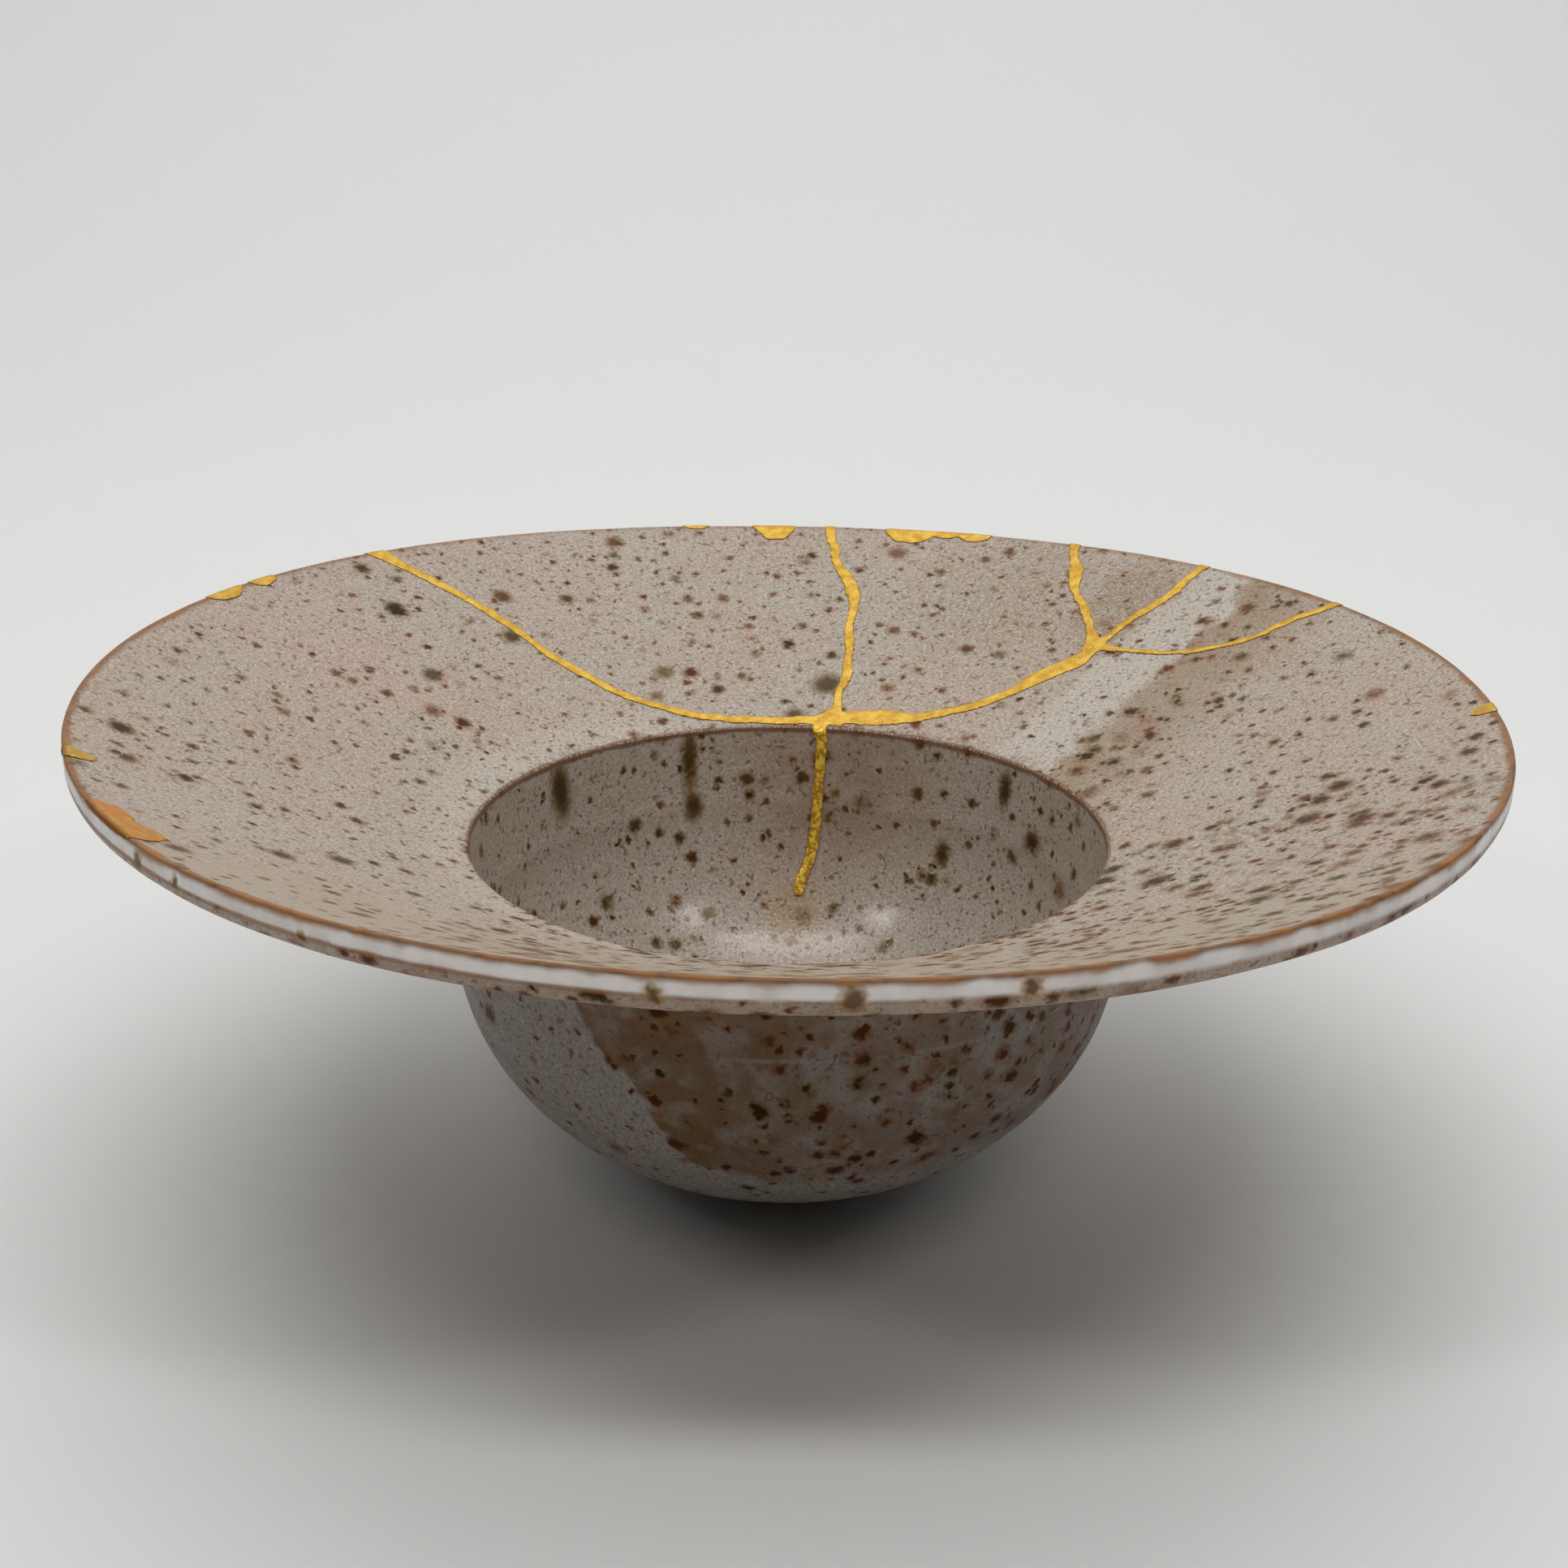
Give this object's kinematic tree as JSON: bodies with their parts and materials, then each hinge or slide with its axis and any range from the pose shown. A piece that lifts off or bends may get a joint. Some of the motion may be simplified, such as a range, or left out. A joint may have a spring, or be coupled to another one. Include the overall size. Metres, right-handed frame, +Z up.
{
  "type": "kintsugi bowl",
  "caption": "Wide-brimmed stoneware bowl with a deep round well, its broken back rejoined with raised gold lacquer seams and gold-filled rim chips.",
  "frame": {"origin": "on the surface the bowl stands on, under the centre of its foot", "axes": "+Z up the bowl's axis, the broken back of the brim towards +Y, the pictured front towards -Y, +X to the viewer's right"},
  "size_m": [0.2504, 0.2504, 0.0955],
  "materials": {
    "glaze": "satin",
    "gold": "satin"
  },
  "bodies": {
    "root": {"bowl_body": "glaze", "sherd_back_left": "glaze", "sherd_back_right": "glaze", "sherd_right_small": "glaze", "sherd_right_narrow": "glaze", "gold_seams": "gold", "gold_fill_back_left_long": "gold", "gold_fill_back_left_short": "gold", "gold_fill_back_thin": "gold", "gold_fill_back_half_moon": "gold", "gold_fill_back_double": "gold", "gold_fill_right": "gold", "gold_fill_left": "gold", "gold_fill_front_left": "gold"}
  },
  "joints": []
}
